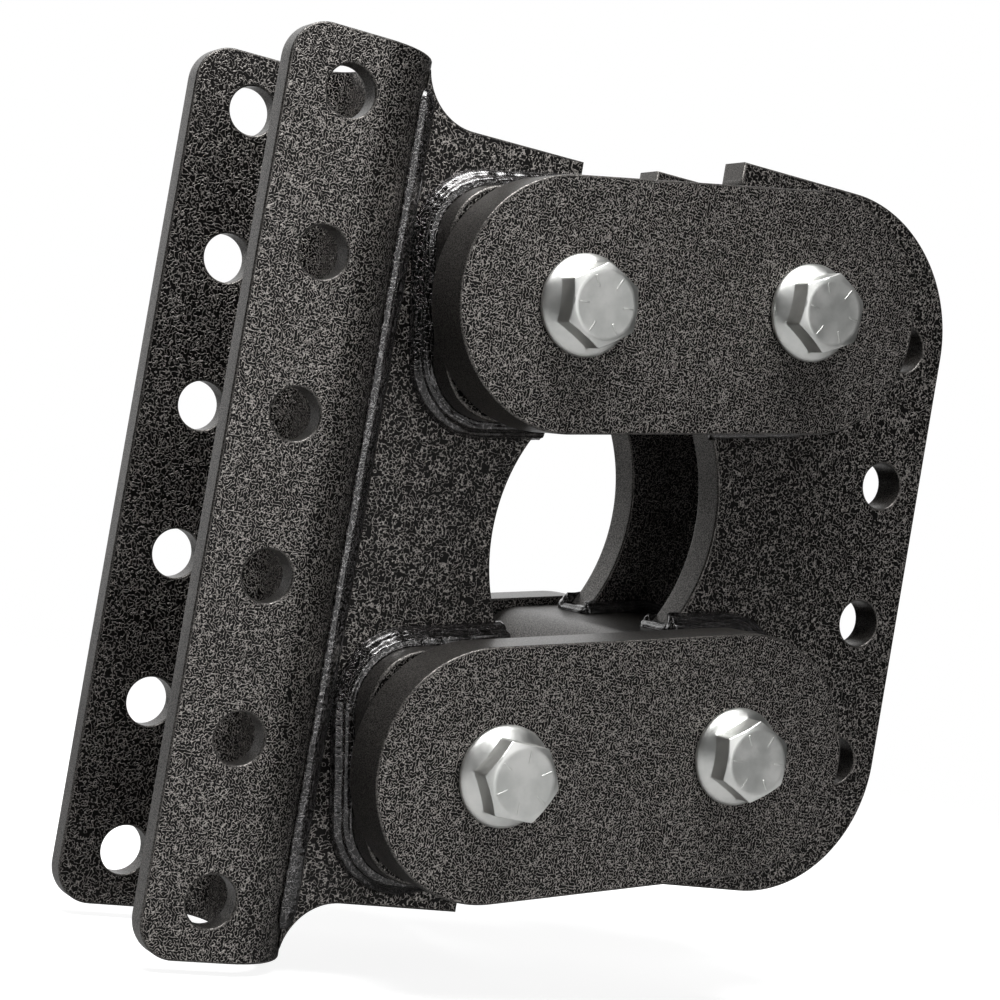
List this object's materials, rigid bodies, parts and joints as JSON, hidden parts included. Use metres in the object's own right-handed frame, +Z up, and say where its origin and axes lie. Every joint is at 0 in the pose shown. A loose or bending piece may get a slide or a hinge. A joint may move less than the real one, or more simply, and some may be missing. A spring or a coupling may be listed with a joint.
{
  "type": "torsion cushion hitch adapter",
  "caption": "Hitch adapter of two welded steel frames joined by parallel links on rubber torsion tubes, with a bent channel at one end and two drilled plates at the other.",
  "frame": {"origin": "centre of the channel web's inner face, where the coupler seats", "axes": "+Z up along the channel, +X from the coupler side to the trailer side, -Y the left side (the side nearest in the picture)"},
  "size_m": [0.2787, 0.1646, 0.2922],
  "materials": {
    "powder_coat": "dark silver-vein textured powder coat, semi-gloss",
    "zinc_plate": "bright zinc plating",
    "bare_steel": "plain drawn steel, lightly oiled",
    "cord_rubber": "matte black natural rubber"
  },
  "bodies": {
    "channel_frame": {"coupler_channel": "powder_coat", "coupler_plate_left": "powder_coat", "coupler_plate_right": "powder_coat", "coupler_tube_upper": "powder_coat", "coupler_tube_lower": "powder_coat", "rubber_cord_coupler_upper_1": "cord_rubber", "rubber_cord_coupler_upper_2": "cord_rubber", "rubber_cord_coupler_upper_3": "cord_rubber", "rubber_cord_coupler_upper_4": "cord_rubber", "rubber_cord_coupler_lower_1": "cord_rubber", "rubber_cord_coupler_lower_2": "cord_rubber", "rubber_cord_coupler_lower_3": "cord_rubber", "rubber_cord_coupler_lower_4": "cord_rubber"},
    "upper_links": {"link_upper_left": "powder_coat", "link_upper_right": "powder_coat", "core_bar_coupler_upper": "bare_steel", "core_bar_trailer_upper": "bare_steel", "bolt_coupler_upper_left": "zinc_plate", "bolt_coupler_upper_right": "zinc_plate", "bolt_trailer_upper_left": "zinc_plate", "bolt_trailer_upper_right": "zinc_plate"},
    "lower_links": {"link_lower_left": "powder_coat", "link_lower_right": "powder_coat", "core_bar_coupler_lower": "bare_steel", "core_bar_trailer_lower": "bare_steel", "bolt_coupler_lower_left": "zinc_plate", "bolt_coupler_lower_right": "zinc_plate", "bolt_trailer_lower_left": "zinc_plate", "bolt_trailer_lower_right": "zinc_plate"},
    "trailer_frame": {"trailer_plate_left": "powder_coat", "trailer_plate_right": "powder_coat", "trailer_tube_upper": "powder_coat", "trailer_tube_lower": "powder_coat", "rubber_cord_trailer_upper_1": "cord_rubber", "rubber_cord_trailer_upper_2": "cord_rubber", "rubber_cord_trailer_upper_3": "cord_rubber", "rubber_cord_trailer_upper_4": "cord_rubber", "rubber_cord_trailer_lower_1": "cord_rubber", "rubber_cord_trailer_lower_2": "cord_rubber", "rubber_cord_trailer_lower_3": "cord_rubber", "rubber_cord_trailer_lower_4": "cord_rubber"}
  },
  "joints": [
    {"name": "upper_link_hinge", "type": "hinge", "parent": "channel_frame", "child": "upper_links", "pos_m": [0.05283, 0, 0.07544], "axis": [0, 1, 0], "range_deg": [-5, 25], "stiffness_Nm_per_rad": 850, "deforming": ["rubber_cord_coupler_upper_1", "rubber_cord_coupler_upper_2", "rubber_cord_coupler_upper_3", "rubber_cord_coupler_upper_4"]},
    {"name": "lower_link_hinge", "type": "hinge", "parent": "channel_frame", "child": "lower_links", "pos_m": [0.05283, 0, -0.07544], "axis": [0, 1, 0], "range_deg": [-5, 25], "stiffness_Nm_per_rad": 425, "deforming": ["rubber_cord_coupler_lower_1", "rubber_cord_coupler_lower_2", "rubber_cord_coupler_lower_3", "rubber_cord_coupler_lower_4", "rubber_cord_trailer_lower_1", "rubber_cord_trailer_lower_2", "rubber_cord_trailer_lower_3", "rubber_cord_trailer_lower_4"]},
    {"name": "trailer_frame_hinge", "type": "hinge", "parent": "upper_links", "child": "trailer_frame", "pos_m": [0.14046, 0, 0.09042], "axis": [0, 1, 0], "range_deg": [-25, 5], "stiffness_Nm_per_rad": 425, "deforming": ["rubber_cord_trailer_upper_1", "rubber_cord_trailer_upper_2", "rubber_cord_trailer_upper_3", "rubber_cord_trailer_upper_4"]}
  ],
  "couplings": [
    {"joint": "lower_link_hinge", "follows": "upper_link_hinge", "ratio": 1},
    {"joint": "trailer_frame_hinge", "follows": "upper_link_hinge", "ratio": -1}
  ]
}
